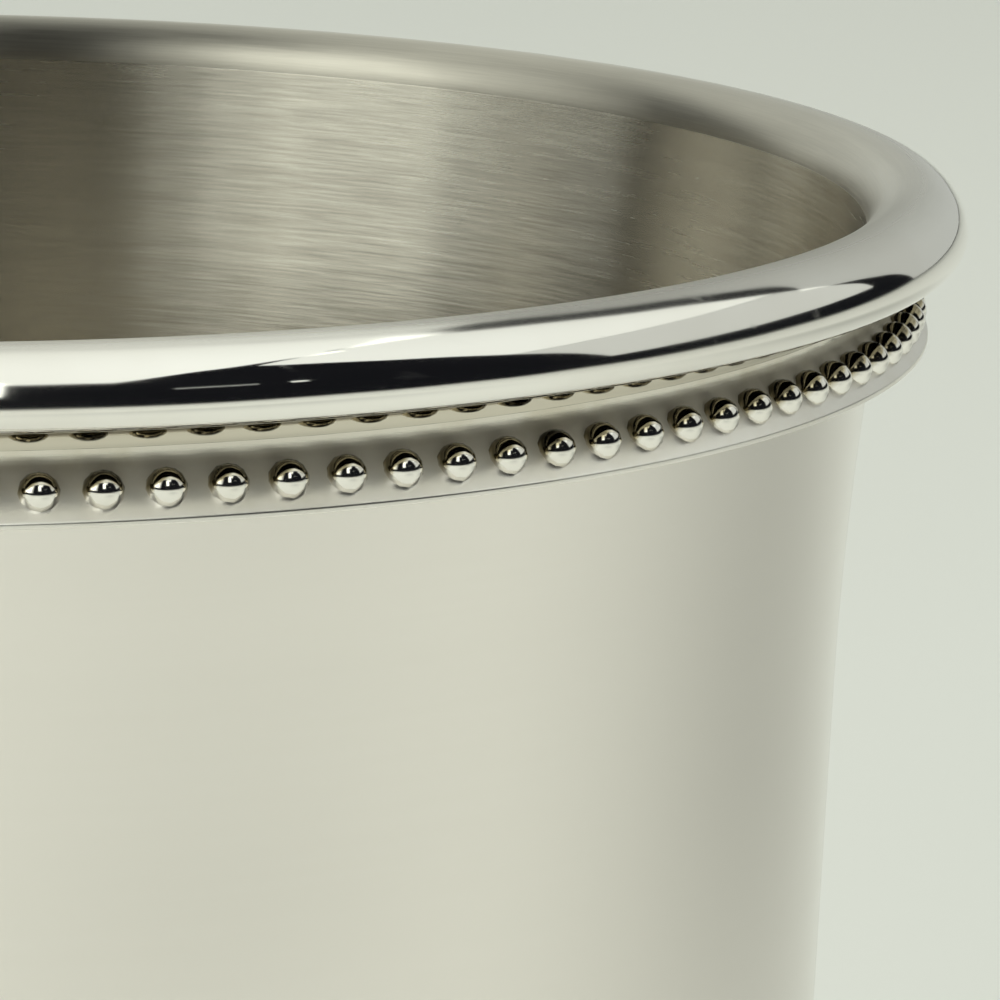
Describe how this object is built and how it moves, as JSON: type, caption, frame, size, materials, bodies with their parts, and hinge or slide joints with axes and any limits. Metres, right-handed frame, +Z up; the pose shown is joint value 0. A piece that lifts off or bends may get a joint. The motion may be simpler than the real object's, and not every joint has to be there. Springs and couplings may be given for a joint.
{
  "type": "julep cup",
  "caption": "Tapered metal drinking cup with a flared mouth, a polished half-round lip over a beaded band, a flat base and a moulded foot with a matching beaded band.",
  "frame": {"origin": "middle of the face that the cup stands on", "axes": "+Z up along the cup's axis, towards the mouth"},
  "size_m": [0.084, 0.084, 0.1],
  "materials": {
    "wall": "brushed inside, soft polish outside",
    "lip": "mirror polish",
    "rim_band": "polish, darker between the beads",
    "base": "turned, fine rings",
    "foot": "mirror polish",
    "foot_band": "polish, darker between the beads"
  },
  "bodies": {
    "root": {"cup_wall": "wall", "rim_roll": "lip", "rim_bead_band": "rim_band", "base_plate": "base", "foot_ring": "foot", "foot_bead_band": "foot_band"}
  },
  "joints": []
}
